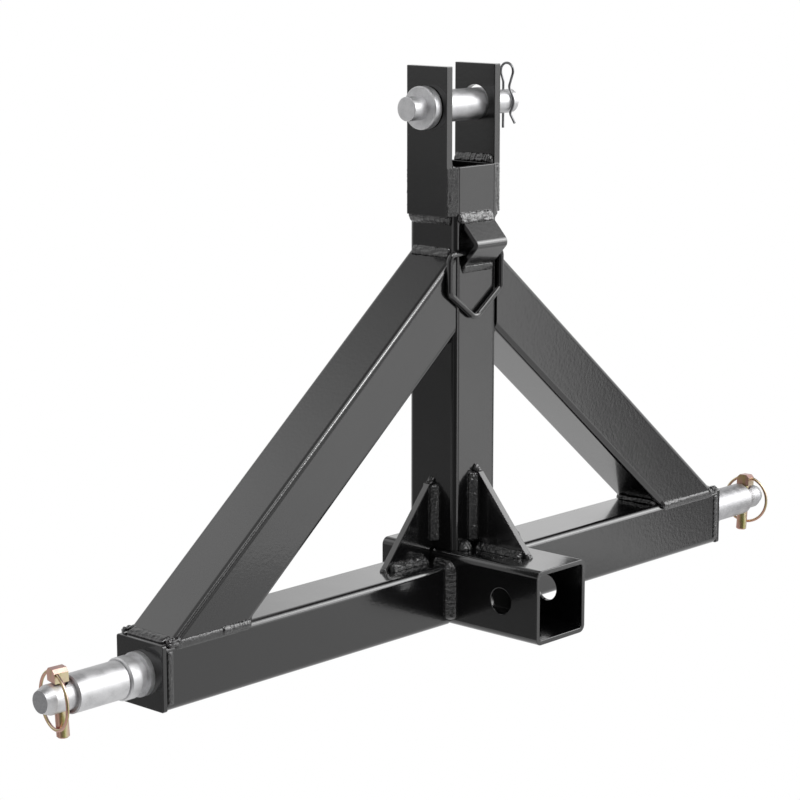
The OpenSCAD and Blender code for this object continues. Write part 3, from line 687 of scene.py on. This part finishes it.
def area_normals(mesh):
    """Shading normals led by the largest face at each corner, so that flat faces shade flat."""
    normals = [Vector() for _ in mesh.vertices]
    for face in mesh.polygons:
        for vert in face.vertices:
            normals[vert] += face.normal * face.area
    for face in mesh.polygons:
        face.use_smooth = True
    mesh.normals_split_custom_set_from_vertices([n.normalized() for n in normals])


def eased_piece(nodes, node, width, coat):
    """A copy of a plain CAD node whose sharp edges are eased, as cut steel's are."""
    mesh = bpy.data.meshes.new(node + "_eased")
    work = bmesh.new()
    work.from_mesh(nodes[node].data)
    bmesh.ops.remove_doubles(work, verts=work.verts, dist=SAME_POINT)
    bmesh.ops.dissolve_limit(work, angle_limit=FLAT_ANGLE, verts=work.verts, edges=work.edges)
    sharp = [e for e in work.edges if e.is_manifold and e.calc_face_angle() > SHARP_ANGLE]
    bmesh.ops.bevel(work, geom=sharp, offset=width, offset_type="OFFSET", segments=3,
                    profile=0.5, affect="EDGES", clamp_overlap=True)
    work.to_mesh(mesh)
    work.free()
    area_normals(mesh)
    piece_of(node + "_eased", mesh, coat, "frame", "black_paint", node)


# ------------------------------------------------------------------ studio

def camera():
    """The photograph's camera."""
    data = bpy.data.cameras.new("photo_camera")
    data.lens = CAMERA_LENS
    data.sensor_width = SENSOR
    view = bpy.data.objects.new("photo_camera", data)
    view.location = CAMERA_AT
    view.rotation_euler = (math.radians(90 - CAMERA_ELEVATION), 0, math.radians(CAMERA_AZIMUTH))
    bpy.context.scene.collection.objects.link(view)
    bpy.context.scene.camera = view


def studio_world():
    """A soft studio all round; the camera itself sees plain white."""
    world = bpy.data.worlds.new("studio")
    world.use_nodes = True
    n = Nodes(world.node_tree)
    at = n.add("ShaderNodeTexCoord").outputs["Generated"]
    total = WORLD_BASE
    for name, towards, strength, starts, full in WORLD_BOXES:
        facing = n.add("ShaderNodeVectorMath", {0: at, 1: Vector(towards).normalized()},
                       operation="DOT_PRODUCT").outputs["Value"]
        box = n.add("ShaderNodeMapRange", {"Value": facing, "From Min": starts, "From Max": full,
                    "To Min": 0.0, "To Max": strength}, interpolation_type="SMOOTHSTEP", label=name)
        total = n.math("ADD", box.outputs["Result"], total)
    total = n.math("MAXIMUM", total, 0.0)
    lit = n.add("ShaderNodeBackground", {"Color": (1, 1, 1, 1), "Strength": total})
    plain = n.add("ShaderNodeBackground", {"Color": (1, 1, 1, 1), "Strength": 1.0})
    seen = n.add("ShaderNodeLightPath").outputs["Is Camera Ray"]
    both = n.add("ShaderNodeMixShader", {0: seen, 1: lit.outputs[0], 2: plain.outputs[0]})
    n.add("ShaderNodeOutputWorld", {"Surface": both.outputs[0]})
    bpy.context.scene.world = world


def floor():
    """A plain pale floor: it takes the object's light, and the camera sees it white."""
    made, n = material("studio_floor")
    diffuse = n.add("ShaderNodeBsdfDiffuse", {"Color": (FLOOR_ALBEDO,) * 3 + (1,)})
    shine = n.add("ShaderNodeEmission", {"Color": (1, 1, 1, 1), "Strength": FLOOR_IN_GLOSS})
    white = n.add("ShaderNodeEmission", {"Color": (1, 1, 1, 1), "Strength": 1.0})
    path = n.add("ShaderNodeLightPath")
    gloss = n.add("ShaderNodeMixShader", {0: path.outputs["Is Glossy Ray"],
                  1: diffuse.outputs[0], 2: shine.outputs[0]})
    seen = n.add("ShaderNodeMixShader", {0: path.outputs["Is Camera Ray"],
                 1: gloss.outputs[0], 2: white.outputs[0]})
    n.add("ShaderNodeOutputMaterial", {"Surface": seen.outputs[0]})
    bpy.ops.mesh.primitive_circle_add(vertices=96, radius=FLOOR_RADIUS, fill_type="NGON",
                                      location=(*FLOOR_AT, FLOOR_Z))
    ground = bpy.context.object
    ground.name = "floor"
    ground.data.materials.append(made)


def lamp(name, at, size, watts):
    """A round lamp that points at the origin."""
    data = bpy.data.lights.new(name, "AREA")
    data.shape = "DISK"
    data.size = size
    data.energy = watts
    light = bpy.data.objects.new(name, data)
    light.location = at
    light.rotation_euler = (-Vector(at)).to_track_quat("-Z", "Y").to_euler()
    bpy.context.scene.collection.objects.link(light)


# --------------------------------------------------------------------- make

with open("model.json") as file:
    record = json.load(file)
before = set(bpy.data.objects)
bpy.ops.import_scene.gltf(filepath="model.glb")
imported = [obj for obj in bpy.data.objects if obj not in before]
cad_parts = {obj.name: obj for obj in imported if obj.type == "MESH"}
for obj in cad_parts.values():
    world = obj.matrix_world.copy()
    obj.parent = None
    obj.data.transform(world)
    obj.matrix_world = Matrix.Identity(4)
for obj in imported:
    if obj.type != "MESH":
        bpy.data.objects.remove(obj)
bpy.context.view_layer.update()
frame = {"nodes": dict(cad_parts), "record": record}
camera()
studio_world()
floor()
lamp("key", at=(3.8, -2.8, 2.3), size=1.5, watts=15.0)
lamp("fill", at=(-0.3, -1.9, 2.4), size=0.4, watts=8.0)
materials = {
    "black_paint": powder_coat(), "painted_bead": painted_bead(), "bright_zinc": bright_zinc(),
    "yellow_zinc": yellow_zinc(), "spring_wire": spring_steel(),
}
paint_nodes(frame, materials)
weld_pieces(frame["nodes"], materials["painted_bead"])
for node, width in EASED.items():
    eased_piece(frame["nodes"], node, width, materials["black_paint"])
bpy.context.scene.view_settings.view_transform = "Standard"
